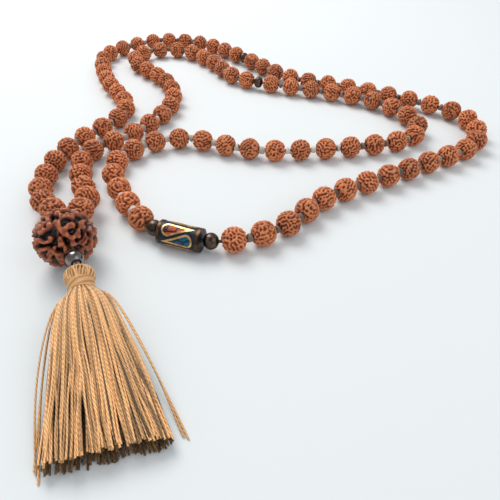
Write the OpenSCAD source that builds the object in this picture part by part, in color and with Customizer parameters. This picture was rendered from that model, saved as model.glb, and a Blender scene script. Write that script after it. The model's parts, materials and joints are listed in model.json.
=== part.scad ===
// Mala: 108 seed beads on one hand-knotted cord, closed by a guru seed with a tassel.
// It lies loosely curled on a table. The table is z = 0, and the origin is under the middle of its outline.

/* [Seed beads] */
// Diameter of a counting seed
bead_d = 8; // [6:0.1:10]
// Play between the cord and a hole, on the radius
bore_play = 0.1; // [0.05:0.01:0.2]

/* [Cord and knots] */
// Diameter of the stringing cord
cord_d = 1; // [0.6:0.05:1.2]
// Diameter of the knots between seeds
knot_d = 2.8; // [2:0.1:3.6]
// Play between a knot and the dimple it sits in, on the radius
knot_play = 0.15; // [0.1:0.05:0.3]
// Space between two beads that have no knot between them
bare_gap = 0.4; // [0.3:0.05:0.6]

/* [Metal beads] */
// Diameter of the metal beads
metal_d = 5; // [4:0.1:7]
// Length of the two metal beads beside the tube bead
flank_len = 4.6; // [3:0.1:5]
// Length of the two counter beads
counter_len = 3.6; // [3:0.1:5]

/* [Inlaid tube bead] */
// Diameter over the wires
tube_d = 7.2; // [7:0.1:10]
// Length over the rims
tube_len = 13; // [12:0.5:18]
// Width of a metal rim
rim_len = 0.9; // [0.5:0.1:1.4]
// Width of the inlaid wire
wire_w = 0.55; // [0.4:0.05:0.8]
// Depth of the pockets that hold wire and stone
pocket_depth = 0.5; // [0.3:0.1:0.8]

/* [Guru bead] */
// Diameter across the hole
guru_d = 17.6; // [14:0.2:24]
// Length along the hole
guru_len = 15; // [12:0.2:22]
// Diameter of the hole, which takes both ends of the cord
guru_bore_d = 2.6; // [2.4:0.1:3.2]
// Diameter of the round metal bead under the guru
spacer_d = 4.7; // [4.2:0.1:6]

/* [Tassel] */
// Diameter of the knot that the tassel hangs from
tassel_knot_d = 2.4; // [2:0.1:2.6]
// Diameter of the folded head
head_d = 7.8; // [7:0.1:11]
// Length of the folded head
head_len = 4; // [3.5:0.1:7]
// Diameter over the wound neck band
wrap_d = 6.6; // [6:0.1:9]
// Length of the wound neck band
wrap_len = 3.6; // [2:0.1:6]
// Thickness of the neck band's winding
wrap_wall = 0.7; // [0.4:0.1:1]
// Length from the knot to the tips of the threads
tassel_len = 50.5; // [40:0.5:70]
// Width of the spread threads at their tips
skirt_w = 26.4; // [18:0.2:36]
// Thickness of the spread threads at their tips
skirt_tip = 4.8; // [3:0.1:6]

/* [Hidden] */
$fn = 48;

// The string, from the left side of the guru round to its right side
quarter = 27;
counter_left = quarter;
flank_left = 2*quarter + 1;
tube_at = flank_left + 1;
flank_right = tube_at + 1;
counter_right = flank_right + quarter + 1;
pieces = counter_right + quarter + 1;

// Space that each nine seeds leave for a knot: tied by hand, so it varies
knot_gap = [1.45, 1.1, 1.15, 1.35, 1.35, 1.05, 1.45, 1.4, 1.45, 1.5, 1.1, 1.2];

low = bead_d/2;
tube_low = max(bead_d, tube_d)/2;
high = guru_d/2;
// Heights beside the guru, where the string climbs to its hole
raised = low + 0.8*(high - low);
climbing = low + 0.25*(high - low);
// Bend of the bare cord between two beads with no knot
joint_d = 1.1*cord_d;
knot_space = knot_d/2 + knot_play;
bore_d = cord_d + 2*bore_play;

// Guru: its hole lies level and points to the tassel
guru_turn = -61;
front = [cos(guru_turn), sin(guru_turn), 0];
beside = [-front.y, front.x, 0];
guru_mid = [0, 0, high];
exit_out = 0.8;
cord_apart = 1.1;
gather = guru_mid - front*(guru_len/2 + exit_out);
exit_left = gather - beside*cord_apart/2;
exit_right = gather + beside*cord_apart/2;
lead_left = 4.2;
lead_right = 3.4;
spacer_mid = guru_len/2 + bare_gap/2 + spacer_d/2;
// From the round metal bead to the knot of the tassel
neck_out = 1.65;
tassel_out = spacer_mid + spacer_d/2 + neck_out;
// The cord ends inside the round metal bead, this far from its lower side
cord_short = 0.2;
through_len = guru_len/2 + exit_out + spacer_mid + spacer_d/2 - cord_short;

// Tassel: it slopes from the guru's hole down to the table
tassel_turn = -70.5;
tassel_tilt = asin((high - skirt_tip/2)/tassel_len);
tassel_dir = [cos(tassel_turn), sin(tassel_turn), 0];
tassel_side = [-tassel_dir.y, tassel_dir.x, 0];
tassel_top = guru_mid + front*tassel_out;
// The head closes over the knot by this much
head_over = 0.2;
head_from = tassel_knot_d/2 - head_over;
dome_r = 0.65*head_d;
wrap_from = head_from + head_len;
// The core of the neck band reaches this far into the head
core_in = 1;
skirt_gap = 0.3;
skirt_from = wrap_from + wrap_len + skirt_gap;
skirt_root = wrap_d/2 - 0.2;
skirt_hinge = skirt_from + skirt_root;
// Spread of the threads: share of the length, share of the width at the tips
skirt_spread = [[0.27, 0.47], [0.43, 0.62], [0.66, 0.76], [1, 1]];

// Where the cord lies, seen from above, measured from the middle of the guru
route = [
    [-6, 16, raised], [-15, 21, climbing], [-19, 42, low], [-16, 60, low],
    [-1, 90, low], [-15, 119, low], [-24, 146, low], [-22, 161, low], [-12, 171, low], [3, 179, low],
    [25, 173, low], [45, 154, low], [68, 126, low], [94, 114, low], [124, 97, low], [138, 84, low],
    [135, 62, low], [110, 46, low], [74, 26, low], [62, 12, low], [42, 4, tube_low], [21, 11, tube_low],
    [7, 32, low], [3, 50, low], [22, 66, low], [57, 56, low], [106, 63, low], [117, 78, low],
    [100, 102, low], [47, 123, low], [34, 142, low], [18, 161, low], [1, 163, low], [-9, 148, low],
    [12, 120, low], [17, 95, low], [6, 70, low], [-9, 55, low], [-6, 36, low],
    [3, 14, raised]
];
route_steps = 12;

function is_seed(i) = i >= 0 && i < pieces
    && i != counter_left && i != counter_right && (i < flank_left || i > flank_right);
function seed_no(i) = i < counter_left ? i : i < flank_left ? i - 1 : i < counter_right ? i - 4 : i - 5;
function piece_len(i) = is_seed(i) ? bead_d
    : i == tube_at ? tube_len
    : i == flank_left || i == flank_right ? flank_len : counter_len;
function outside(i) = i < 0 || i >= pieces;
function knotted(j) = (outside(j - 1) || is_seed(j - 1)) && (outside(j) || is_seed(j));
// How far a straight run of cord stops short of the middle of the knot or bend at its end
knot_tuck = 0.4*cord_d;
bend_tuck = 0.17*cord_d;
function tuck(j) = knotted(j) ? knot_tuck : bend_tuck;
// Distance from the middle of a piece to the joint before it (0) or after it (1)
function reach(i, end) = piece_len(i)/2 + (knotted(i + end) ? knot_gap[floor(seed_no(i)/9)] : bare_gap)/2;
function link(i) = reach(i, 0) + reach(i, 1);

// Smooth curve through the route, drawn at scale k about the guru
function spline(a, b, c, d, u) =
    (2*b + (c - a)*u + (2*a - 5*b + 4*c - d)*u*u + (3*b - a - 3*c + d)*u*u*u)/2;
function curve(k) =
    let(p = concat([exit_left + front*guru_len, exit_left],
        [for (r = route) [r.x*k, r.y*k, r.z]],
        [exit_right, exit_right + front*guru_len, exit_right + front*2*guru_len]))
    [for (i = [1 : len(p) - 3], s = [0 : route_steps - 1])
        let(q = spline(p[i - 1], p[i], p[i + 1], p[i + 2], s/route_steps)) [q.x, q.y, max(q.z, low)]];
curve_end = (len(route) + 1)*route_steps;

// Joints of the string: each piece is a straight link whose two ends lie on the curve
function ahead(c, n, here, d) = norm(c[n] - here) >= d ? n : ahead(c, n + 1, here, d);
function crossing(a, b, here, d) =
    let(m = b - a, w = a - here, h = m*w)
    a + m*(sqrt(h*h - (m*m)*(w*w - d*d)) - h)/(m*m);
function string_on(c, i, n, found) = i == pieces ? [found, n]
    : let(d = link(i), m = ahead(c, n, found[i], d))
      string_on(c, i + 1, m, concat(found, [crossing(c[m - 1], c[m], found[i], d)]));
function lay(k) =
    let(c = curve(k), n = ahead(c, 1, exit_left, lead_left))
    string_on(c, 0, n, [crossing(c[n - 1], c[n], exit_left, lead_left)]);
function sum(v, i = 0, s = 0) = i == len(v) ? s : sum(v, i + 1, s + v[i]);
// The loop grows or shrinks until the string closes on the right side of the guru
string_len = sum([for (i = [0 : pieces - 1]) link(i)]) + lead_left + lead_right;
drawn = curve(1);
drawn_len = sum([for (n = [1 : curve_end]) norm(drawn[n] - drawn[n - 1])]);
function fitted(k, tries) = tries == 0 ? k
    : let(s = lay(k), over = norm(s[0][pieces] - exit_right)*(s[1] > curve_end ? -1 : 1) - lead_right)
      fitted(k*string_len/(string_len + over), tries - 1);
loop_scale = fitted(string_len/drawn_len, 4);
joints = lay(loop_scale)[0];

function heading(i) = (joints[i + 1] - joints[i])/norm(joints[i + 1] - joints[i]);
function middle(i) = joints[i] + heading(i)*reach(i, 0);

// Middle of the outline
tip = tassel_top + tassel_dir*(tassel_len*cos(tassel_tilt) + skirt_tip/2*sin(tassel_tilt));
seeds_mid = [for (i = [0 : pieces - 1]) if (is_seed(i)) middle(i)];
left = min([for (m = seeds_mid) m.x]) - bead_d/2;
right = max([for (m = seeds_mid) m.x]) + bead_d/2;
back = max([for (m = seeds_mid) m.y]) + bead_d/2;
near = min(tip.y - tassel_side.y*skirt_w/2, tip.y + tassel_side.y*skirt_w/2);
origin = [-(left + right)/2, -(back + near)/2, 0];

// Stretches of the string that lift by themselves: name, first piece, last piece
bights = [
    ["waist_outer", 7, 11], ["corner", 13, 17], ["crown_outer", 20, 25], ["lobe_outer", 37, 46],
    ["front", 50, 58], ["cheek", 60, 65], ["lobe_inner", 74, 78], ["crown_inner", 88, 96],
    ["waist_inner", 99, 105]
];
// Stretches that stay: first piece, last piece
stays = [
    [1, 6], [12, 12], [18, 19], [26, 36], [47, 49], [59, 59], [66, 73], [79, 87], [97, 98], [106, 111]
];
// Stays whose seeds share one node each: name, number in stays
stay_seeds = [["neck_left", 0], ["back", 3], ["middle", 6], ["inner", 7], ["neck_right", 9]];
// Seeds with a node of their own
single = [0, 9, 12, 15, 18, 19, 22, 41, 47, 48, 49, 52, 59, 63, 76, 92, 97, 98, 102, 112];

function is_single(i) = len([for (s = single) if (s == i) s]) > 0;
function shared(first, last) = [for (i = [first : last]) if (is_seed(i) && !is_single(i)) i];
function side_no(i) = seed_no(i) < 2*quarter ? seed_no(i) + 1 : 4*quarter - seed_no(i);
function seed_name(i) =
    str("seed_", i < tube_at ? "left_" : "right_", side_no(i) < 10 ? "0" : "", side_no(i));

// Turns +Z to a direction, at a place measured from the guru
module aim(place, dir) {
    translate(origin + place) rotate([0, acos(dir.z), atan2(dir.y, dir.x)]) children();
}

module on_piece(i) {
    aim(middle(i), heading(i)) children();
}

module on_guru(out) {
    aim(guru_mid + front*out, front) children();
}

// Local +X is down, +Y is to the right and +Z runs to the tips
module on_tassel() {
    translate(origin + tassel_top) rotate([0, 90 + tassel_tilt, tassel_turn]) children();
}

// Cord from one place to another, stopping short of each by the lengths given
module rod(a, b, short_a, short_b) {
    dir = (b - a)/norm(b - a);
    aim(a + dir*short_a, dir) cylinder(d = cord_d, h = norm(b - a) - short_a - short_b);
}

// Round knot or bend, with its own +X beside the cord
module ball(place, d, dir) {
    translate(origin + place) rotate([0, 0, 90 + atan2(dir.y, dir.x)]) sphere(d = d);
}

// Bead with a fully rounded rim
module round_bead(d, length, hole) {
    difference() {
        rotate_extrude() intersection() {
            translate([(d - length)/2, 0]) circle(d = length);
            translate([0, -length]) square([d, 2*length]);
        }
        cylinder(d = hole, h = 2*length, center = true);
    }
}

// Seed with its hole, dimpled where a knot sits in the mouth of the hole
module seed(i) {
    color("#b36b43") on_piece(i) difference() {
        sphere(d = bead_d);
        cylinder(d = bore_d, h = 2*bead_d, center = true);
        for (end = [0, 1]) if (knotted(i + end))
            translate([0, 0, (2*end - 1)*reach(i, end)]) sphere(r = knot_space);
    }
}

module metal_bead(i) {
    color("#5b5149") on_piece(i) round_bead(metal_d, piece_len(i), bore_d);
}

// Cord through pieces first to last, with a knot or a plain bend at each joint between them.
// A stretch that keeps its ends has the knots there too, and any other stops just short of them.
module cord_through(first, last, keeps_ends) {
    color("#8f7c6e") union() {
        for (i = [first : last])
            rod(joints[i], joints[i + 1],
                !keeps_ends && i == first ? knot_space : tuck(i),
                !keeps_ends && i == last ? knot_space : tuck(i + 1));
        for (j = [first + (keeps_ends ? 0 : 1) : last + (keeps_ends ? 1 : 0)])
            ball(joints[j], knotted(j) ? knot_d : joint_d, heading(min(j, last)));
    }
}

module guru_bead() {
    color("#8d4526") on_guru(0) round_bead(guru_d, guru_len, guru_bore_d);
}

// Both ends of the cord: through the first seeds, knotted together behind the guru,
// then through the guru and the round metal bead
module guru_cord() {
    color("#8f7c6e") union() {
        for (end = [[joints[1], joints[0], exit_left], [joints[pieces - 1], joints[pieces], exit_right]]) {
            rod(end[0], end[1], knot_space, knot_tuck);
            ball(end[1], knot_d, end[2] - end[1]);
            rod(end[1], end[2], knot_tuck, knot_tuck);
            rod(end[2], end[2] + front*through_len, knot_tuck, 0);
        }
        ball(gather, knot_d, -front);
    }
}

module guru_spacer() {
    color("#7d7c7a") on_guru(spacer_mid) round_bead(spacer_d, spacer_d, guru_bore_d);
}

module tassel_knot() {
    color("#d8cfc4") on_tassel() sphere(d = tassel_knot_d);
}

// Folded threads: a domed head over the knot, and the core that the neck band is wound on
module tassel_head() {
    color("#d9b27c") on_tassel() difference() {
        union() {
            intersection() {
                translate([0, 0, head_from]) cylinder(d = head_d, h = head_len);
                translate([0, 0, head_from + dome_r - head_over]) sphere(r = dome_r);
            }
            translate([0, 0, wrap_from - core_in])
                cylinder(d = wrap_d - 2*wrap_wall, h = wrap_len + core_in);
        }
        sphere(r = tassel_knot_d/2 + knot_play);
    }
}

module tassel_wrap() {
    color("#c69a5e") on_tassel() translate([0, 0, wrap_from]) difference() {
        cylinder(d = wrap_d, h = wrap_len);
        cylinder(d = wrap_d - 2*wrap_wall, h = 3*wrap_len, center = true);
    }
}

// Spread threads: rounded where they bend under the neck band, then a flat fan
module tassel_skirt() {
    tip_h = skirt_tip/2;
    flank = concat([[skirt_from, wrap_d/2 + skirt_gap]],
        [for (s = skirt_spread) [s.x*tassel_len, s.y*skirt_w/2]]);
    color("#dcb886") on_tassel() intersection() {
        union() {
            translate([0, 0, skirt_hinge]) rotate([90, 0, 0])
                cylinder(r = skirt_root, h = skirt_w, center = true);
            rotate([90, 0, 0]) linear_extrude(skirt_w, center = true) polygon([
                [-skirt_root, skirt_hinge], [skirt_root, skirt_hinge],
                [tip_h, tassel_len], [-tip_h, tassel_len]
            ]);
        }
        rotate([90, 0, 90]) linear_extrude(3*skirt_root, center = true)
            polygon(concat(flank, [for (n = [len(flank) - 1 : -1 : 0]) [-flank[n].y, flank[n].x]]));
    }
}

// Tube bead: pairs of drops outlined in wire, each lying head to tail with its partner
pairs = 3;
pair_turn = 128;
drop_spread = 20;
drop_lean = 11;
drop_r = 0.275*tube_d;
// From a rim to the nearest end of a drop
drop_end = 0.6;
drop_mid = tube_len/2 - rim_len - drop_end - drop_r;
drop_tail = drop_mid + tube_len/2 - rim_len - drop_end;
floor_r = tube_d/2 - pocket_depth;
// The wires stand proud of the core
wire_proud = 0.1;
core_r = tube_d/2 - wire_proud;
rim_wall = 0.8;
// Outline of a round head drawn out to a point at a distance
function drop_outline(r, tail) =
    let(turn = 180 - acos(r/tail))
    concat([for (s = [-8 : 8]) [r*sin(turn*s/8), r*cos(turn*s/8)]], [[0, -tail]]);

// Block over one drop, between the pocket's floor and a radius: inset from the wire's outer edge
module drop_block(pair, side, inset, top_r) {
    rotate([0, 0, pair_turn + 360*pair/pairs]) rotate([180*side, 0, 0]) intersection() {
        rotate([0, 0, drop_spread]) rotate([90, 0, 90]) linear_extrude(tube_d)
            translate([0, drop_mid]) rotate(drop_lean)
            polygon(drop_outline(drop_r - inset, drop_tail*(1 - inset/drop_r)));
        difference() {
            cylinder(r = top_r, h = tube_len, center = true);
            cylinder(r = floor_r, h = 2*tube_len, center = true);
        }
    }
}

module tube_core() {
    color("#1f2a36") on_piece(tube_at) difference() {
        union() {
            cylinder(r = core_r, h = tube_len - 2*rim_len, center = true);
            cylinder(r = tube_d/2 - rim_wall, h = tube_len, center = true);
        }
        cylinder(d = bore_d, h = 2*tube_len, center = true);
        for (pair = [1 : pairs], side = [0, 1]) drop_block(pair, side, 0, tube_d);
    }
}

module tube_rims() {
    color("#b07a45") on_piece(tube_at) for (s = [-1, 1])
        translate([0, 0, s*(tube_len - rim_len)/2]) difference() {
            cylinder(d = tube_d, h = rim_len, center = true);
            cylinder(r = tube_d/2 - rim_wall, h = 2*rim_len, center = true);
        }
}

module tube_wires() {
    color("#c8984d") on_piece(tube_at) for (pair = [1 : pairs], side = [0, 1]) difference() {
        drop_block(pair, side, 0, tube_d/2);
        drop_block(pair, side, wire_w, tube_d);
    }
}

module tube_coral() {
    color("#b5432a") on_piece(tube_at) for (pair = [1 : pairs]) drop_block(pair, 0, wire_w, core_r);
}

module tube_turquoise() {
    color("#1f6f9c") on_piece(tube_at) for (pair = [1 : pairs]) drop_block(pair, 1, wire_w, core_r);
}

module cord_base() {
    for (s = stays) cord_through(s[0], s[1], true);
}

guru_bead();
guru_cord();
guru_spacer();
tassel_knot();
tassel_head();
tassel_wrap();
tassel_skirt();
tube_core();
tube_rims();
tube_wires();
tube_coral();
tube_turquoise();
metal_bead(flank_left);  // flank_bead_left
metal_bead(flank_right);  // flank_bead_right
metal_bead(counter_left);  // counter_left_bead
metal_bead(counter_right);  // counter_right_bead
cord_base();
for (b = bights) {
    cord_through(b[1], b[2], false);
    for (i = shared(b[1], b[2])) seed(i);
}
for (s = stay_seeds)
    for (i = shared(stays[s[1]][0], stays[s[1]][1])) seed(i);
for (i = single) seed(i);
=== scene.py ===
import json
import math
import random

import bpy
import numpy
from mathutils import Matrix, Vector

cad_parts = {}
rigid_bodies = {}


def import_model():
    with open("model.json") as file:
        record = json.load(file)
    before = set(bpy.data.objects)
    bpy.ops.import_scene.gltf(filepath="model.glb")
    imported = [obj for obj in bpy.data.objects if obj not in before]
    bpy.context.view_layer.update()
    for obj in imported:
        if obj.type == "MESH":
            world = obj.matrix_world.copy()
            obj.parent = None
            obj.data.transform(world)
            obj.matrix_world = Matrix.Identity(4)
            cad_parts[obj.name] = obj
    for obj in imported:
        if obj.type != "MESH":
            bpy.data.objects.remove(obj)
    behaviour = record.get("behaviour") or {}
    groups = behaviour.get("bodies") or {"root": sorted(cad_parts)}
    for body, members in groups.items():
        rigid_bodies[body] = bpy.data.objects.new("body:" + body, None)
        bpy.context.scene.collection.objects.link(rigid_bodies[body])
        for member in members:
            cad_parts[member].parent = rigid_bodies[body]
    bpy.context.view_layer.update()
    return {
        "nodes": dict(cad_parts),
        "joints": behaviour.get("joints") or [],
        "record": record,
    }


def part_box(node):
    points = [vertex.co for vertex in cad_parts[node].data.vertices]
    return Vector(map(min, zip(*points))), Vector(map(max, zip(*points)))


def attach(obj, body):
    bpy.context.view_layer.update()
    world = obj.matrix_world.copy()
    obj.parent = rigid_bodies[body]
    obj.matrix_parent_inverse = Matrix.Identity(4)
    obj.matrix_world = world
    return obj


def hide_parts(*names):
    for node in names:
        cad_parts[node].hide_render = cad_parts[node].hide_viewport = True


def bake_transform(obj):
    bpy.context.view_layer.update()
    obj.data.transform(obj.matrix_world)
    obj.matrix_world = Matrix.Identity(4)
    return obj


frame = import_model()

random.seed(11)
scene = bpy.context.scene


def deselectAll():
    for o in bpy.context.selected_objects:
        o.select_set(False)


def makeActive(obj):
    deselectAll()
    obj.select_set(True)
    bpy.context.view_layer.objects.active = obj


def joinAll(objs, name):
    makeActive(objs[0])
    for o in objs:
        o.select_set(True)
    if len(objs) > 1:
        bpy.ops.object.join()
    joined = bpy.context.view_layer.objects.active
    joined.name = joined.data.name = name
    return joined


def copyOf(obj, matrix, name):  # each copy has its own mesh, and its place is in that mesh
    new = bpy.data.objects.new(name, obj.data.copy())
    new.data.transform(matrix)
    scene.collection.objects.link(new)
    return new


def drop(obj):
    mesh = obj.data
    bpy.data.objects.remove(obj)
    bpy.data.meshes.remove(mesh)


def settle(obj):  # moves the object's place into its mesh
    makeActive(obj)
    bpy.ops.object.transform_apply(location=True, rotation=True, scale=True)
    return obj


def pointValues(obj, name, values):
    layer = obj.data.attributes.get(name) or obj.data.attributes.new(name, "FLOAT", "POINT")
    layer.data.foreach_set("value", values)


def towards(place, direction, spin=0.0):  # turns +Z to a direction at a place
    turn = Vector(direction).to_track_quat("Z", "Y").to_matrix().to_4x4()
    return Matrix.Translation(place) @ turn @ Matrix.Rotation(spin, 4, "Z")


def smoothStep(x):
    x = min(1.0, max(0.0, x))
    return x*x*(3 - 2*x)


def newMaterial(name, color, roughness, **sockets):
    mat = bpy.data.materials.new(name)
    mat.use_nodes = True
    shader = mat.node_tree.nodes["Principled BSDF"]
    shader.inputs["Base Color"].default_value = (*color, 1)
    shader.inputs["Roughness"].default_value = roughness
    for key, value in sockets.items():
        shader.inputs[key.replace("_", " ")].default_value = value
    return mat, mat.node_tree.nodes, mat.node_tree.links, shader


def attributeNode(nodes, name):
    node = nodes.new("ShaderNodeAttribute")
    node.attribute_name = name
    return node.outputs["Fac"]


def noiseNode(nodes, links, scale, detail=3.0, stretch=(1, 1, 1)):
    coords = nodes.new("ShaderNodeTexCoord")
    mapping = nodes.new("ShaderNodeMapping")
    mapping.inputs["Scale"].default_value = stretch
    links.new(coords.outputs["Object"], mapping.inputs["Vector"])
    node = nodes.new("ShaderNodeTexNoise")
    node.inputs["Scale"].default_value = scale
    node.inputs["Detail"].default_value = detail
    links.new(mapping.outputs["Vector"], node.inputs["Vector"])
    return node.outputs["Fac"]


def rampNode(nodes, links, source, stops):
    node = nodes.new("ShaderNodeValToRGB")
    while len(node.color_ramp.elements) < len(stops):
        node.color_ramp.elements.new(0.5)
    for element, (place, color) in zip(node.color_ramp.elements, stops):
        element.position = place
        element.color = (*color, 1)
    links.new(source, node.inputs["Fac"])
    return node.outputs["Color"]


def mathNode(nodes, links, operation, a, b):
    node = nodes.new("ShaderNodeMath")
    node.operation = operation
    for socket, value in zip(node.inputs, (a, b)):
        if isinstance(value, (int, float)):
            socket.default_value = value
        else:
            links.new(value, socket)
    return node.outputs[0]


def shadeNode(nodes, links, color, value, low, high):  # brightness follows a 0 to 1 value
    spread = nodes.new("ShaderNodeMapRange")
    spread.inputs["To Min"].default_value = low
    spread.inputs["To Max"].default_value = high
    links.new(value, spread.inputs["Value"])
    node = nodes.new("ShaderNodeHueSaturation")
    links.new(spread.outputs["Result"], node.inputs["Value"])
    links.new(color, node.inputs["Color"])
    return node.outputs["Color"]


def bumpNode(nodes, links, shader, height, distance, strength=1.0):
    node = nodes.new("ShaderNodeBump")
    node.inputs["Distance"].default_value = distance
    node.inputs["Strength"].default_value = strength
    links.new(height, node.inputs["Height"])
    links.new(node.outputs["Normal"], shader.inputs["Normal"])


def seedMaterial(name, stops, roughness, grain, coat):
    mat, nodes, links, shader = newMaterial(name, stops[-1][1], roughness)
    shader.inputs["Coat Weight"].default_value = coat
    shader.inputs["Coat Roughness"].default_value = 0.35
    fine = noiseNode(nodes, links, grain)
    worn = noiseNode(nodes, links, grain/9, 2.0)
    height = mathNode(nodes, links, "ADD", attributeNode(nodes, "ridge"),
                      mathNode(nodes, links, "MULTIPLY", mathNode(nodes, links, "SUBTRACT", fine, 0.5), 0.35))
    # colour follows the ridge value: grooves and seams take the dark stops, partly the seed's own darker tone
    # and partly painted shade
    color = rampNode(nodes, links, height, stops)
    color = shadeNode(nodes, links, color, attributeNode(nodes, "tint"), 0.78, 1.2)
    color = shadeNode(nodes, links, color, worn, 0.85, 1.15)
    links.new(color, shader.inputs["Base Color"])
    bumpNode(nodes, links, shader, fine, 0.00012, 0.8)
    return mat


# the low stops are groove colours with painted shade in them, the guru's nearly black
seedStops = [(0.0, (0.17, 0.036, 0.013)), (0.3, (0.36, 0.085, 0.028)), (0.7, (0.60, 0.18, 0.062)),
             (1.0, (0.74, 0.26, 0.098))]
guruStops = [(0.0, (0.006, 0.002, 0.001)), (0.3, (0.045, 0.010, 0.005)), (0.62, (0.24, 0.050, 0.015)),
             (1.0, (0.50, 0.130, 0.040))]
seedSkin = seedMaterial("seedSkin", seedStops, 0.62, 2600, 0.03)
guruSkin = seedMaterial("guruSkin", guruStops, 0.45, 1500, 0.2)


def threadMaterial(name, dark, light, sheen, roughness, turns):  # plied thread, striped along its own UV map: painted shade between the plies and a painted highlight on each ply's crest
    mat, nodes, links, shader = newMaterial(name, light, roughness)
    shader.inputs["Sheen Weight"].default_value = sheen
    shader.inputs["Sheen Roughness"].default_value = 0.35
    shader.inputs["Sheen Tint"].default_value = (1.0, 0.86, 0.66, 1)
    uv = nodes.new("ShaderNodeUVMap")
    parts = nodes.new("ShaderNodeSeparateXYZ")
    links.new(uv.outputs["UV"], parts.inputs["Vector"])
    tint = attributeNode(nodes, "tint")
    along = mathNode(nodes, links, "MULTIPLY", parts.outputs["X"], turns)
    lean = mathNode(nodes, links, "ADD", along, mathNode(nodes, links, "MULTIPLY", parts.outputs["Y"], 2.0))
    lean = mathNode(nodes, links, "ADD", lean, mathNode(nodes, links, "MULTIPLY", tint, 53.0))
    wave = mathNode(nodes, links, "SINE", mathNode(nodes, links, "MULTIPLY", lean, math.pi), 0.0)
    ply = mathNode(nodes, links, "ABSOLUTE", wave, 0.0)
    # shine is a painted highlight on the ply crests; dark is painted shade between the plies
    shine = tuple(min(1, c*1.25) for c in light)
    color = rampNode(nodes, links, ply, [(0.0, dark), (0.5, light), (1.0, shine)])
    color = shadeNode(nodes, links, color, tint, 0.12, 1.32)
    color = shadeNode(nodes, links, color, noiseNode(nodes, links, 1400, 2.0), 0.75, 1.25)
    links.new(color, shader.inputs["Base Color"])
    bumpNode(nodes, links, shader, ply, 0.00012, 0.6)
    return mat


silk = threadMaterial("silk", (0.44, 0.20, 0.068), (0.72, 0.40, 0.165), 0.35, 0.3, 34.0)
cordThread = threadMaterial("cordThread", (0.10, 0.07, 0.055), (0.30, 0.22, 0.17), 0.2, 0.5, 40.0)


def knotMaterial():
    mat, nodes, links, shader = newMaterial("knotThread", (0.4, 0.32, 0.26), 0.45)
    shader.inputs["Sheen Weight"].default_value = 0.25
    strand = noiseNode(nodes, links, 2400, 2.0, (1, 1, 2.5))
    color = rampNode(nodes, links, attributeNode(nodes, "tint"),
                     [(0.0, (0.085, 0.06, 0.05)), (0.35, (0.21, 0.145, 0.115)), (0.7, (0.42, 0.34, 0.28)),
                      (1.0, (0.72, 0.66, 0.58))])
    color = shadeNode(nodes, links, color, strand, 0.55, 1.35)
    links.new(color, shader.inputs["Base Color"])
    bumpNode(nodes, links, shader, strand, 0.0002, 0.8)
    return mat


knotThread = knotMaterial()


def metalMaterial(name, dark, light, roughness, scale):
    mat, nodes, links, shader = newMaterial(name, light, roughness, Metallic=1.0)
    patina = noiseNode(nodes, links, scale, 4.0)
    links.new(rampNode(nodes, links, patina, [(0.35, dark), (0.62, light)]), shader.inputs["Base Color"])
    rough = nodes.new("ShaderNodeMapRange")
    rough.inputs["To Min"].default_value = roughness*0.7
    rough.inputs["To Max"].default_value = roughness*1.5
    links.new(patina, rough.inputs["Value"])
    links.new(rough.outputs["Result"], shader.inputs["Roughness"])
    bumpNode(nodes, links, shader, noiseNode(nodes, links, scale*4, 2.0), 0.00004, 0.5)
    return mat


darkBronze = metalMaterial("darkBronze", (0.030, 0.024, 0.021), (0.14, 0.10, 0.075), 0.3, 700)
silverBead = metalMaterial("silverBead", (0.10, 0.09, 0.085), (0.27, 0.25, 0.24), 0.17, 500)
brassWire = metalMaterial("brassWire", (0.42, 0.22, 0.08), (0.78, 0.50, 0.23), 0.3, 900)
copperRim = metalMaterial("copperRim", (0.025, 0.017, 0.014), (0.16, 0.085, 0.045), 0.36, 600)


def stoneMaterial(name, dark, light, resin, scale):  # chips of stone set in dark resin
    mat, nodes, links, shader = newMaterial(name, light, 0.4)
    shader.inputs["Specular IOR Level"].default_value = 0.25
    coords = nodes.new("ShaderNodeTexCoord")
    chips = nodes.new("ShaderNodeTexVoronoi")
    chips.feature = "DISTANCE_TO_EDGE"
    chips.inputs["Scale"].default_value = scale
    links.new(coords.outputs["Object"], chips.inputs["Vector"])
    grain = noiseNode(nodes, links, 1800, 3.0)
    stone = rampNode(nodes, links, grain, [(0.3, dark), (0.7, light)])
    edge = rampNode(nodes, links, chips.outputs["Distance"], [(0.05, (0, 0, 0)), (0.09, (1, 1, 1))])
    mix = nodes.new("ShaderNodeMix")
    mix.data_type = "RGBA"
    mix.inputs["A"].default_value = (*resin, 1)
    links.new(edge, mix.inputs["Factor"])
    links.new(stone, mix.inputs["B"])
    links.new(mix.outputs["Result"], shader.inputs["Base Color"])
    bumpNode(nodes, links, shader, chips.outputs["Distance"], 0.0001, 0.5)
    return mat


chipResin = (0.008, 0.012, 0.018)
chipScale = 330
coralChips = stoneMaterial("coralChips", (0.34, 0.042, 0.015), (0.52, 0.085, 0.03), chipResin, chipScale)
turquoiseChips = stoneMaterial(
    "turquoiseChips", (0.004, 0.07, 0.14), (0.008, 0.13, 0.22), chipResin, chipScale)


def resinMaterial():
    mat, nodes, links, shader = newMaterial("darkResin", (0.010, 0.015, 0.024), 0.36)
    shader.inputs["Specular IOR Level"].default_value = 0.25
    cloud = noiseNode(nodes, links, 900, 4.0)
    links.new(rampNode(nodes, links, cloud, [(0.3, (0.005, 0.007, 0.010)), (0.75, (0.015, 0.023, 0.036))]),
              shader.inputs["Base Color"])
    bumpNode(nodes, links, shader, cloud, 0.00008, 0.5)
    return mat


darkResin = resinMaterial()


def dress(obj, mat):
    obj.data.materials.clear()
    obj.data.materials.append(mat)
    return obj


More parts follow.
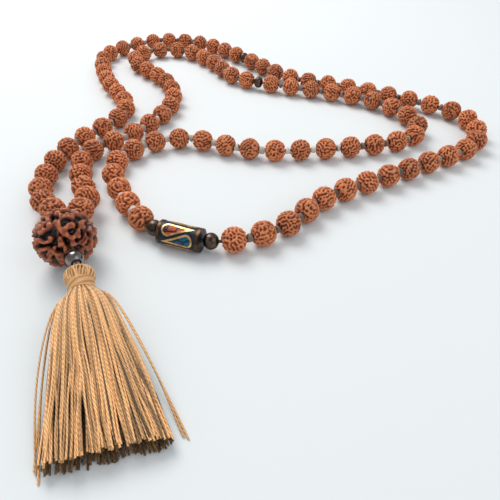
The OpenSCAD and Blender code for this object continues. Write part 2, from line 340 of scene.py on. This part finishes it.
guruLow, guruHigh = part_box("guru_bead")
guruMid = (guruLow + guruHigh)/2
cameraPlace = {"right": 0.0505, "nearer": 0.1045, "height": 0.0939, "tiltDeg": 49.384, "lens": 35.48}
camera = bpy.data.objects.new("camera", bpy.data.cameras.new("camera"))
scene.collection.objects.link(camera)
camera.location = (guruMid.x + cameraPlace["right"], guruMid.y - cameraPlace["nearer"], cameraPlace["height"])
camera.rotation_euler = (math.radians(cameraPlace["tiltDeg"]), 0, 0)
camera.data.lens = cameraPlace["lens"]
camera.data.sensor_width = 36
camera.data.clip_start = 0.005
scene.camera = camera


string = {
    "quarter": 27, "seedD": 0.008, "cordD": 0.001, "knotD": 0.0028, "bareGap": 0.0004,
    "tubeLen": 0.013, "flankLen": 0.0046, "counterLen": 0.0036,
    "knotGap": [0.00145, 0.0011, 0.00115, 0.00135, 0.00135, 0.00105, 0.00145, 0.0014, 0.00145, 0.0015, 0.0011,
                0.0012],
    "guruLen": 0.015, "guruTurnDeg": -61, "exitOut": 0.0008, "cordApart": 0.0011,
    "leadLeft": 0.0042, "leadRight": 0.0034, "steps": 12,
}
low = string["seedD"]/2
high = guruMid.z
raised = low + 0.8*(high - low)
sloping = low + 0.25*(high - low)
cordRoute = [  # from the left of the guru round to its right, measured from the guru
    (-0.006, 0.016, raised), (-0.015, 0.021, sloping), (-0.019, 0.042, low), (-0.016, 0.060, low),
    (-0.001, 0.090, low), (-0.015, 0.119, low), (-0.024, 0.146, low), (-0.022, 0.161, low),
    (-0.012, 0.171, low), (0.003, 0.179, low), (0.025, 0.173, low), (0.045, 0.154, low),
    (0.068, 0.126, low), (0.094, 0.114, low), (0.124, 0.097, low), (0.138, 0.084, low),
    (0.135, 0.062, low), (0.110, 0.046, low), (0.074, 0.026, low), (0.062, 0.012, low),
    (0.042, 0.004, low), (0.021, 0.011, low), (0.007, 0.032, low), (0.003, 0.050, low),
    (0.022, 0.066, low), (0.057, 0.056, low), (0.106, 0.063, low), (0.117, 0.078, low),
    (0.100, 0.102, low), (0.047, 0.123, low), (0.034, 0.142, low), (0.018, 0.161, low),
    (0.001, 0.163, low), (-0.009, 0.148, low), (0.012, 0.120, low), (0.017, 0.095, low),
    (0.006, 0.070, low), (-0.009, 0.055, low), (-0.006, 0.036, low), (0.003, 0.014, raised),
]
quarter = string["quarter"]
counterLeft, flankLeft, tubeAt, flankRight = quarter, 2*quarter + 1, 2*quarter + 2, 2*quarter + 3
counterRight = flankRight + quarter + 1
pieceCount = counterRight + quarter + 1
metalNodes = {counterLeft: "counter_left_bead", counterRight: "counter_right_bead",
              flankLeft: "flank_bead_left", flankRight: "flank_bead_right", tubeAt: "tube_core"}
guruTurn = math.radians(string["guruTurnDeg"])
front = Vector((math.cos(guruTurn), math.sin(guruTurn), 0))
beside = Vector((-front.y, front.x, 0))
guruOver = Vector((guruMid.x, guruMid.y, 0))
gather = guruMid - front*(string["guruLen"]/2 + string["exitOut"])
exitLeft = gather - beside*string["cordApart"]/2
exitRight = gather + beside*string["cordApart"]/2


def isSeed(i):
    return 0 <= i < pieceCount and i not in metalNodes


def knotted(j):
    return (j == 0 or isSeed(j - 1)) and (j == pieceCount or isSeed(j))


def pieceLength(i):
    if isSeed(i):
        return string["seedD"]
    return {tubeAt: string["tubeLen"], flankLeft: string["flankLen"], flankRight: string["flankLen"]}.get(
        i, string["counterLen"])


def reach(i, end):  # from the middle of a piece to the joint before it (0) or after it (1)
    passed = sum(1 for other in metalNodes if other < i)
    gap = string["knotGap"][(i - passed)//9] if knotted(i + end) else string["bareGap"]
    return pieceLength(i)/2 + gap/2


def cordCurve(scale):
    ends = string["guruLen"]*front
    places = [exitLeft + ends, exitLeft]
    places += [guruOver + Vector((x*scale, y*scale, z)) for x, y, z in cordRoute]
    places += [exitRight, exitRight + ends, exitRight + ends*2]
    line = []
    for a, b, c, d in zip(places, places[1:], places[2:], places[3:]):
        for step in range(string["steps"]):
            u = step/string["steps"]
            p = (2*b + (c - a)*u + (2*a - 5*b + 4*c - d)*u*u + (3*b - a - 3*c + d)*u**3)/2
            line.append(Vector((p.x, p.y, max(p.z, low))))
    return line


def layString(scale):
    line = cordCurve(scale)
    here, step, n, found = exitLeft, string["leadLeft"], 1, []
    for i in range(pieceCount + 1):
        while (line[n] - here).length < step:
            n += 1
        m, w = line[n] - line[n - 1], line[n - 1] - here
        h, mm = m.dot(w), m.dot(m)
        here = line[n - 1] + m*((math.sqrt(h*h - mm*(w.dot(w) - step*step)) - h)/mm)
        found.append(here)
        if i < pieceCount:
            step = reach(i, 0) + reach(i, 1)
    return found, n


curveEnd = (len(cordRoute) + 1)*string["steps"]
stringLen = sum(reach(i, 0) + reach(i, 1) for i in range(pieceCount))
stringLen = stringLen + string["leadLeft"] + string["leadRight"]
drawn = cordCurve(1)[:curveEnd + 1]
loopScale = stringLen/sum((b - a).length for a, b in zip(drawn, drawn[1:]))
for _ in range(4):
    joints, reached = layString(loopScale)
    over = (joints[-1] - exitRight).length*(-1 if reached > curveEnd else 1) - string["leadRight"]
    loopScale *= stringLen/(stringLen + over)
joints, reached = layString(loopScale)
headings = [(b - a).normalized() for a, b in zip(joints, joints[1:])]
middles = [joints[i] + headings[i]*reach(i, 0) for i in range(pieceCount)]

bodyOf = {node: body for body, nodes in frame["record"]["behaviour"]["bodies"].items() for node in nodes}
spunBy = {j["child"]: j["parent"] for j in frame["joints"] if j.get("continuous")}
seedNodes = [n for n in frame["nodes"] if n.startswith("seed")]
corners = {n: [v.co.copy() for v in list(frame["nodes"][n].data.vertices)[::7]] for n in seedNodes}


def nodeAt(i):  # the CAD node that holds piece i
    if not isSeed(i):
        return metalNodes[i]
    return min(seedNodes, key=lambda n: min((p - middles[i]).length for p in corners[n]))


nodeOf = [nodeAt(i) for i in range(pieceCount)]
carrier = [spunBy.get(bodyOf[n], bodyOf[n]) for n in nodeOf]
root = "strand"


def knotBody(j):
    if j in (0, pieceCount):
        return "guru_end"
    return carrier[j] if carrier[j - 1] == carrier[j] else root


worst = max((sum(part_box(nodeOf[i]), Vector())/2 - middles[i]).length
            for i in range(pieceCount) if nodeOf.count(nodeOf[i]) == 1)
print("string laid: loop scale %.4f, beads off their nodes by at most %.3f mm" % (loopScale, worst*1000))


def tube(name, runs, diameter, sides=1):  # runs of points as a curve with round section
    curve = bpy.data.curves.new(name, "CURVE")
    curve.dimensions = "3D"
    curve.bevel_depth = diameter/2
    curve.bevel_resolution = sides
    curve.use_fill_caps = True
    for points in runs:
        spline = curve.splines.new("POLY")
        spline.points.add(len(points) - 1)
        spline.points.foreach_set("co", [c for p in points for c in (*p, 1)])
        spline.use_smooth = True
    obj = bpy.data.objects.new(name, curve)
    scene.collection.objects.link(obj)
    return obj


# The same as a mesh, with a UV map and a tint for each run
def meshTube(name, runs, diameter, sides=1, tints=None):
    obj = tube(name, runs, diameter, sides)
    makeActive(obj)
    bpy.ops.object.convert(target="MESH")
    obj = bpy.context.view_layer.objects.active
    values = []
    share = len(obj.data.vertices)/sum(len(r) for r in runs)
    for n, points in enumerate(runs):
        values += [tints[n] if tints else 0.5]*round(share*len(points))
    pointValues(obj, "tint", (values + [0.5]*len(obj.data.vertices))[:len(obj.data.vertices)])
    bpy.ops.object.shade_smooth()
    return obj


stretches = []
for i in range(pieceCount):
    if stretches and carrier[i] == stretches[-1][0]:
        stretches[-1][1].append(i)
    else:
        stretches.append((carrier[i], [i]))
cordShape = {"shortest": 0.03, "bend": 0.0012}


def cordLine(first, last):  # the cord's middle line, eased at each knot
    ease = cordShape["bend"]
    line = [joints[first]]
    for j in range(first + 1, last + 1):
        before, after = headings[j - 1], headings[j]
        eased = (joints[j]*2 - before*ease/2 + after*ease/2)/2
        line += [joints[j] - before*ease, eased, joints[j] + after*ease]
    return line + [joints[last + 1]]


cords = {}
shortRuns = {}
for carried, held in stretches:
    line = cordLine(held[0], held[-1])
    length = sum((b - a).length for a, b in zip(line, line[1:]))
    if carried == "guru_end":
        continue
    if length < cordShape["shortest"]:
        shortRuns.setdefault(carried, []).append(line)
        continue
    name = "cord_%s_%d" % (carried, held[0])
    cord = dress(tube(name, [line], string["cordD"], 3), cordThread)
    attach(cord, carried)
    cords.setdefault(carried, []).append(cord)
for carried, lines in shortRuns.items():
    cord = dress(meshTube("cord_%s_short" % carried, lines, string["cordD"], 3), cordThread)
    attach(cord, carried)
    cords.setdefault(carried, []).append(cord)
for carried, made in cords.items():
    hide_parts("cord_base" if carried == root else "cord_" + carried)
spacerLow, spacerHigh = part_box("guru_spacer")
spacerMid = (spacerLow + spacerHigh)/2
leadShape = {"back": 0.0015, "along": 0.6, "past": 0.002, "apart": 0.0004, "reach": 0.0034}
leads = [
    [joints[1] - headings[0]*leadShape["back"], joints[0], joints[0].lerp(exitLeft, leadShape["along"]),
     exitLeft, exitLeft + front*leadShape["past"],
     spacerMid - beside*leadShape["apart"] + front*leadShape["reach"]],
    [joints[-2] + headings[-1]*leadShape["back"], joints[-1], joints[-1].lerp(exitRight, leadShape["along"]),
     exitRight, exitRight + front*leadShape["past"],
     spacerMid + beside*leadShape["apart"] + front*leadShape["reach"]],
]
guruCord = dress(meshTube("guruCord", leads, string["cordD"], 3), cordThread)
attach(guruCord, "guru_end")
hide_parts("guru_cord")
print("cord made:", len(stretches), "stretches,", round(stringLen*1000), "mm round the loop")


knotShape = {  # shades: first knot, last knot, how pale; the other knots have the usual shade
    "loopR": 0.00082, "strandR": 0.00052, "lean": (0.35, -0.4, 0.05), "shift": (-0.00035, 0.00035, 0.0),
    "around": 16, "section": 8, "shades": [(46, 55, 0.12), (58, 72, 0.9), (97, 106, 0.75)],
    "large": {59: 1.3, 60: 1.15, 99: 1.15}, "usual": 0.35, "spread": 0.12, "gatherTint": 0.6, "tieTint": 0.8,
}


def makeKnot():
    loops = []
    for lean, shift in zip(knotShape["lean"], knotShape["shift"]):
        deselectAll()
        bpy.ops.mesh.primitive_torus_add(
            major_segments=knotShape["around"], minor_segments=knotShape["section"],
            major_radius=knotShape["loopR"], minor_radius=knotShape["strandR"],
            location=(0, 0, shift), rotation=(lean, lean*0.6, 0))
        loops.append(settle(bpy.context.active_object))
    knot = joinAll(loops, "knot")
    bpy.ops.object.shade_smooth()
    return knot


knotModel = makeKnot()
knotPieces = {}
for j in range(pieceCount + 1):
    if not knotted(j):
        continue
    heading = headings[min(j, pieceCount - 1)] + headings[max(j - 1, 0)]
    grown = knotShape["large"].get(j, random.uniform(0.92, 1.08))
    matrix = towards(joints[j], heading, random.uniform(0, 6.28)) @ Matrix.Scale(grown, 4)
    copy = copyOf(knotModel, matrix, "knot_%d" % j)
    shades = (shade for first, last, shade in knotShape["shades"] if first <= j <= last)
    pale = next(shades, knotShape["usual"])
    tint = min(1, max(0, random.gauss(pale, knotShape["spread"])))
    pointValues(copy, "tint", [tint]*len(copy.data.vertices))
    knotPieces.setdefault(knotBody(j), []).append(copy)
gatherKnot = copyOf(knotModel, towards(gather, front), "knot_gather")
pointValues(gatherKnot, "tint", [knotShape["gatherTint"]]*len(gatherKnot.data.vertices))
knotPieces["guru_end"].append(gatherKnot)
for body, made in knotPieces.items():
    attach(dress(joinAll(made, "knots_" + body), knotThread), body)


seedShape = {
    "variants": 12, "cuts": 31, "wave": 0.00112, "waves": 14, "level": 0.75, "rise": 1.15, "depth": 0.0006,
    "fineWave": 0.0007, "fineDepth": 0.00013, "seams": 5, "seamW": 0.09, "seamDepth": 0.0002,
    "cupR": 0.0016, "cupOut": 0.00465, "uneven": 0.03, "fineShade": 0.13,
}
guruShape = {
    "cuts": 89, "wave": 0.0026, "waves": 14, "level": 0.72, "rise": 1.2, "depth": 0.0015,
    "fineWave": 0.0015, "fineDepth": 0.0005, "seams": 5, "seamW": 0.05, "seamDepth": 0.0008,
    "cupR": 0.0017, "cupOut": 0.0078, "uneven": 0.05, "fineShade": 0.2, "halfAcross": 0.0088,
    "halfLength": 0.0075,
}


def waveField(points, wave, waves, draw):  # many flat waves of one length added up: an even tangle of ridges
    draws = numpy.random.default_rng(draw)
    ways = draws.normal(size=(waves, 3))
    ways /= numpy.linalg.norm(ways, axis=1)[:, None]
    phases = draws.uniform(0, 2*math.pi, waves)
    return numpy.cos(points @ ways.T*(2*math.pi/wave) + phases).sum(axis=1)*math.sqrt(2/waves)


def roundCube(name, cuts):
    deselectAll()
    bpy.ops.mesh.primitive_cube_add(size=2)
    ball = bpy.context.active_object
    ball.name = ball.data.name = name
    bpy.ops.object.mode_set(mode="EDIT")
    bpy.ops.mesh.select_all(action="SELECT")
    bpy.ops.mesh.subdivide(number_cuts=cuts)
    bpy.ops.transform.tosphere(value=1)
    bpy.ops.object.mode_set(mode="OBJECT")
    return ball


# Ridges, seams from hole to hole, and a dimple at each hole
def carve(ball, shape, halfAcross, halfLength, draw):
    way = numpy.empty(3*len(ball.data.vertices))
    ball.data.vertices.foreach_get("co", way)
    way = way.reshape(-1, 3)
    way /= numpy.linalg.norm(way, axis=1)[:, None]
    flat = numpy.hypot(way[:, 0], way[:, 1])
    full = 1/numpy.hypot(flat/halfAcross, way[:, 2]/halfLength)
    places = way*full[:, None]
    slow = waveField(places, shape["wave"]*4, 6, draw + 100)
    places = places*(1 + 0.06*slow[:, None])
    tangle = waveField(places, shape["wave"], shape["waves"], draw)
    crest = numpy.sin(numpy.clip((tangle + shape["level"])/shape["rise"], 0, 1)*math.pi/2)
    fine = waveField(places, shape["fineWave"], shape["waves"], draw + 200)
    turn = numpy.arctan2(way[:, 1], way[:, 0])/(2*math.pi)*shape["seams"] + 0.12*slow
    away = numpy.abs(turn - numpy.round(turn))/shape["seams"]*2*math.pi*flat
    seam = numpy.exp(-(away/shape["seamW"])**2)
    r = full*(1 - shape["uneven"]*(0.5 + 0.25*slow).clip(0, 1))
    r -= shape["depth"]*(1 - crest) + shape["fineDepth"]*(1 - fine.clip(-1, 1))/2 + shape["seamDepth"]*seam
    across = shape["cupOut"]*flat
    inCup = across < shape["cupR"]
    cup = shape["cupOut"]*numpy.abs(way[:, 2]) - numpy.sqrt(numpy.clip(shape["cupR"]**2 - across**2, 0, None))
    r = numpy.where(inCup, numpy.minimum(r, cup), r)
    ball.data.vertices.foreach_set("co", (way*r[:, None]).ravel())
    # the ridge value is lowered in fine grooves and along the seams: painted shade there, partly the seed's
    # own tone
    pointValues(ball, "ridge", (crest - shape["fineShade"]*(1 - fine.clip(-1, 1)) - 0.35*seam).clip(0, 1))
    makeActive(ball)
    bpy.ops.object.shade_smooth()
    return ball


seedModels = []
for variant in range(seedShape["variants"]):
    model = roundCube("seedModel_%d" % variant, seedShape["cuts"])
    seedModels.append(carve(model, seedShape, string["seedD"]/2, string["seedD"]/2, variant))

seedPieces = {}
for i in range(pieceCount):
    if not isSeed(i):
        continue
    flip = Matrix.Rotation(math.pi*random.randint(0, 1), 4, "X")
    matrix = towards(middles[i], headings[i], random.uniform(0, 6.28)) @ flip
    copy = copyOf(random.choice(seedModels), matrix, "seedCopy_%d" % i)
    pointValues(copy, "tint", [min(1, max(0, random.gauss(0.5, 0.2)))]*len(copy.data.vertices))
    seedPieces.setdefault(nodeOf[i], []).append(copy)
for node, made in seedPieces.items():
    piece = dress(joinAll(made, "ridged_" + node), seedSkin)
    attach(piece, bodyOf[node])
    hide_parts(node)
for model in seedModels:
    drop(model)
print("seeds made:", len(seedPieces), "pieces")

guru = roundCube("guruSeed", guruShape["cuts"])
carve(guru, guruShape, guruShape["halfAcross"], guruShape["halfLength"], 41)
guru.data.transform(towards(guruMid, front, 0.5))
pointValues(guru, "tint", [0.5]*len(guru.data.vertices))
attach(dress(guru, guruSkin), "guru")
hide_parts("guru_bead")
print("guru seed made")

for node, mat in {  # these keep their shape from the frame
    "flank_bead_left": darkBronze, "flank_bead_right": darkBronze, "counter_left_bead": darkBronze,
    "counter_right_bead": darkBronze, "guru_spacer": silverBead, "tube_core": darkResin,
    "tube_rims": copperRim, "tube_wires": brassWire, "tube_coral": coralChips,
    "tube_turquoise": turquoiseChips,
}.items():
    dress(frame["nodes"][node], mat)


tassel = {
    "knotD": 0.0024, "turnDeg": -70.5, "length": 0.0505, "tipHalfW": 0.0132, "tipThick": 0.0048,
    "headR": 0.0039, "headFrom": 0.001, "headLen": 0.004, "wrapR": 0.0033, "wrapLen": 0.0036, "hinge": 0.012,
    "threadD": 0.00048, "rings": 17, "foldThreads": 50, "foldD": 0.0005, "wrapTurns": 9,
    "tuck": 0.0006, "bandIn": 0.0004, "restShare": 0.55, "turnSteps": 40, "foldSteps": 12,
}
threadLayers = {  # how many, heights in the bundle, how far the ends draw back, how light; the middle and lower layers are painted dark as shade beneath the upper layer
    "upper": {"count": 100, "rise": (0.7, 1.0), "back": (0.0006, 0.0018), "tint": (0.68, 0.34)},
    "middle": {"count": 130, "rise": (-0.4, 0.6), "back": (0.0012, 0.0036), "tint": (0.08, 0.06)},
    "lower": {"count": 100, "rise": (-1.0, -0.5), "back": (-0.0004, 0.0012), "tint": (0.07, 0.07)},
}
strays = [  # side at the tip, side it bows to on the way, how far the tip draws back
    (0.0157, 0.0006, 0.0004), (0.0150, 0.0011, 0.0012), (-0.0141, -0.0020, 0.003), (-0.0134, -0.0012, 0.001),
    (-0.0146, -0.0006, 0.004),
]
knotLow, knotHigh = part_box("tassel_knot")
tasselTop = (knotLow + knotHigh)/2
tilt = math.asin((tasselTop.z - tassel["tipThick"]/2)/tassel["length"])
tasselTurn = math.radians(tassel["turnDeg"])
across = Vector((-math.sin(tasselTurn), math.cos(tasselTurn), 0))
level = Vector((math.cos(tasselTurn), math.sin(tasselTurn), 0))
down = (level*math.cos(tilt) - Vector((0, 0, math.sin(tilt)))).normalized()
above = across.cross(down)
if above.z < 0:
    above = -above


def onTassel(out, side, up):
    return tasselTop + down*out + across*side + above*up


skirtFrom = tassel["headFrom"] + tassel["headLen"] + tassel["wrapLen"] - tassel["tuck"]
neckR = tassel["wrapR"] - tassel["bandIn"]


def share(out):  # 0 under the neck band, 1 at the tips
    return min(1.0, max(0.0, (out - skirtFrom)/(tassel["length"] - skirtFrom)))


def halfWidth(out):
    u = share(out)
    return neckR + (tassel["tipHalfW"] - neckR)*(0.30*(1 - math.exp(-u/0.05)) + 0.70*u)


def halfThick(out):
    u = share(out)
    return neckR + (tassel["tipThick"]/2 - neckR)*u + 0.0007*math.sin(math.pi*min(1.0, 2.2*u))


def skirtThread(a, b, length, wander, phase):
    points = []
    for n in range(tassel["rings"]):
        s = n/(tassel["rings"] - 1)
        out = skirtFrom + (length - skirtFrom)*s
        loose = wander*smoothStep((s - 0.05)*1.2)
        side = a*halfWidth(out) + loose*math.sin(phase + 4.2*s) + 0.3*loose*math.sin(3*phase + 15*s)
        up = b*halfThick(out) + 0.5*loose*math.cos(2*phase + 6.1*s)
        p = onTassel(out, side, up)
        points.append(Vector((p.x, p.y, max(p.z, tassel["threadD"]*tassel["restShare"]))))
    return points


def gaussTint(middle, spread):
    return min(1.0, max(0.0, random.gauss(middle, spread)))


for key, layer in threadLayers.items():
    runs, tints = [], []
    for n in range(layer["count"]):
        a = 2*(n + random.uniform(0, 1))/layer["count"] - 1
        b = math.sqrt(1 - a*a)*random.uniform(*layer["rise"])
        skew = 0.0012*a - 0.0004
        length = tassel["length"] + skew - random.uniform(*layer["back"])
        lock = 2.1*math.sin(7*a) + 1.3*math.sin(17*a + 1)  # neighbours bow together, in locks
        wander = random.uniform(0.0002, 0.0009)
        runs.append(skirtThread(a, b, length, wander, lock + random.uniform(-0.7, 0.7)))
        # the layer's lightness: painted shade for the middle and lower layers
        tints.append(gaussTint(*layer["tint"]))
    if key == "upper":
        for tipSide, bow, back in strays:
            run = []
            for n in range(tassel["rings"]):
                s = n/(tassel["rings"] - 1)
                out = skirtFrom + (tassel["length"] - back - skirtFrom)*s
                beyond = tipSide - math.copysign(tassel["tipHalfW"], tipSide)
                side = math.copysign(halfWidth(out), tipSide) + beyond*s
                p = onTassel(out, side + bow*math.sin(math.pi*s), neckR*0.2*(1 - s))
                run.append(Vector((p.x, p.y, max(p.z*(1 - 0.9*s*s), tassel["threadD"]*tassel["restShare"]))))
            runs.append(run)
            tints.append(gaussTint(0.7, 0.1))
    piece = dress(meshTube("threads_" + key, runs, tassel["threadD"], 0, tints), silk)
    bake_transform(piece)
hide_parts("tassel_skirt")

foldRuns, foldTints = [], []
headEnd = tassel["headFrom"] + tassel["headLen"]
for n in range(tassel["foldThreads"]):
    turn = 2*math.pi*(n + random.uniform(-0.3, 0.3))/tassel["foldThreads"]
    line = []
    for s in range(tassel["foldSteps"] + 1):
        t = s/tassel["foldSteps"]
        r = (tassel["headR"] - tassel["foldD"]/2)*math.sin(min(1.0, 0.28 + 1.7*t)*math.pi/2)
        r -= (tassel["headR"] - tassel["wrapR"] + 0.0004)*smoothStep((t - 0.6)/0.4)
        out = tassel["headFrom"] + 0.0001 + (tassel["headLen"] + 0.0008)*t**1.3
        lean = turn + 0.12*math.sin(3*t + n)
        line.append(onTassel(out, r*math.cos(lean), r*math.sin(lean)))
    foldRuns.append(line)
    # the folded threads are made lighter than the skirt threads: a painted highlight over the head
    foldTints.append(gaussTint(0.82, 0.15))
head = meshTube("foldedThreads", foldRuns, tassel["foldD"], 1, foldTints)
deselectAll()
bpy.ops.mesh.primitive_uv_sphere_add(segments=32, ring_count=20, radius=1)
core = bpy.context.active_object
core.scale = (tassel["headR"]*0.9, tassel["headR"]*0.9, tassel["headLen"]*0.62)
settle(core)
core.data.transform(towards(onTassel(tassel["headFrom"] + tassel["headLen"]*0.68, 0, 0), down))
# the core is made dark: painted shade in the gaps between the folded threads
pointValues(core, "tint", [0.3]*len(core.data.vertices))
head = joinAll([head, core], "foldedThreads")
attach(dress(head, silk), "tassel")
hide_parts("tassel_head")

wrapLine = []
turns = tassel["wrapTurns"]
steps = tassel["turnSteps"]
pitch = tassel["wrapLen"]/turns
for n in range(turns*steps + 1):
    turn = 2*math.pi*n/steps
    wobble = 0.00006*math.sin(turn*3.7)
    r = tassel["wrapR"] - pitch*0.55 + wobble
    out = headEnd + pitch*(0.5 + (turns - 1)*n/(turns*steps)) + wobble
    wrapLine.append(onTassel(out, r*math.cos(turn), r*math.sin(turn)))
wrap = dress(meshTube("neckBand", [wrapLine], pitch*1.12, 2, [0.6]), silk)
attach(wrap, "tassel")
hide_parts("tassel_wrap")

tieScale = Matrix.Scale(tassel["knotD"]/string["knotD"], 4)
tie = copyOf(knotModel, towards(tasselTop, down) @ tieScale, "tasselTie")
pointValues(tie, "tint", [knotShape["tieTint"]]*len(tie.data.vertices))
drop(knotModel)
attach(dress(tie, knotThread), "tassel_tie")
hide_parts("tassel_knot")
print("tassel made")

deselectAll()
bpy.ops.mesh.primitive_plane_add(size=4, location=(0, 0.5, 0))
floor = bpy.context.active_object
floor.name = "floor"
floorMat, nodes, links, shader = newMaterial("floorPaper", (0.745, 0.785, 0.80), 0.85)
floor.data.materials.append(floorMat)

world = bpy.data.worlds.new("world")
scene.world = world
world.use_nodes = True
world.node_tree.nodes["Background"].inputs["Color"].default_value = (0.96, 0.98, 1.0, 1)
world.node_tree.nodes["Background"].inputs["Strength"].default_value = 0.6


def softLight(name, place, size, power, color):
    light = bpy.data.objects.new(name, bpy.data.lights.new(name, "AREA"))
    scene.collection.objects.link(light)
    light.location = place
    light.data.size = size
    light.data.energy = power
    light.data.color = color
    light.rotation_euler = Vector(place).to_track_quat("Z", "Y").to_euler()
    return light


softLight("keyLight", (-0.28, 0.38, 0.62), 0.46, 4.4, (1.0, 0.98, 0.95))
softLight("fillLight", (0.5, -0.35, 0.5), 0.6, 1.2, (0.95, 0.98, 1.0))
scene.view_settings.view_transform = "Standard"
print("floor and lights made")
